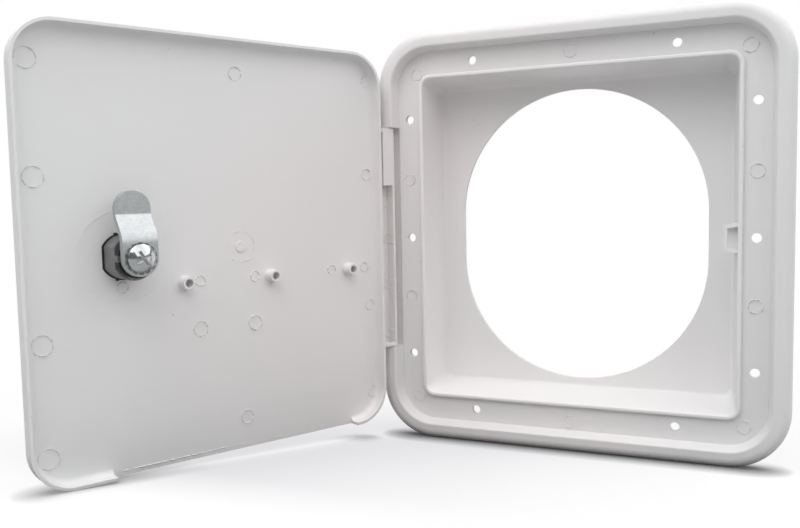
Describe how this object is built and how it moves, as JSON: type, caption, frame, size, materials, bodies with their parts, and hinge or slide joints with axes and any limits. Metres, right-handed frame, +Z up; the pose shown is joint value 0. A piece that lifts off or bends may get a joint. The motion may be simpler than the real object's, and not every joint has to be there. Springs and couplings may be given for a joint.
{
  "type": "fuel_filler_hatch",
  "caption": "White moulded fuel filler hatch: rimmed screw flange, shallow recessed box with a rounded cut-out, and a lipped door swung open on its side hinge, with a cam lock",
  "frame": {"origin": "centre of the flat back face of the screw flange", "axes": "+Y goes into the wall that the hatch is screwed to, so the hatch faces -Y; +Z is up; +X is right as seen from outside"},
  "size_m": [0.3363, 0.2343, 0.251],
  "materials": {
    "white_plastic": "satin moulded",
    "pin_steel": "drawn wire",
    "lock_chrome": "plated",
    "black_rubber": "matte",
    "lock_body": "dark cast body",
    "lock_black": "black",
    "plated_steel": "zinc plated"
  },
  "bodies": {
    "frame": {"screw_flange": "white_plastic", "rim_bead": "white_plastic", "recess_walls": "white_plastic", "recess_back": "white_plastic", "keeper": "white_plastic", "hinge_pin_upper": "pin_steel", "hinge_pin_lower": "pin_steel"},
    "door": {"door_panel": "white_plastic", "hinge_strip": "white_plastic", "hinge_pin_block": "white_plastic", "lock_head": "lock_chrome", "lock_gasket": "black_rubber", "lock_barrel": "lock_body", "stop_collar": "lock_black"},
    "cam": {"key_plug": "lock_chrome", "cam": "plated_steel", "lock_washer": "plated_steel", "cam_screw": "lock_chrome"}
  },
  "joints": [
    {"name": "door_hinge", "type": "hinge", "parent": "frame", "child": "door", "pos_m": [-0.114, -0.0086, 0], "axis": [0, 0, 1], "range_deg": [-12, 117]},
    {"name": "cam_turn", "type": "hinge", "parent": "door", "child": "cam", "pos_m": [-0.18329, -0.16353, -0.0015], "axis": [0.891, -0.454, 0], "range_deg": [0, 90]}
  ]
}
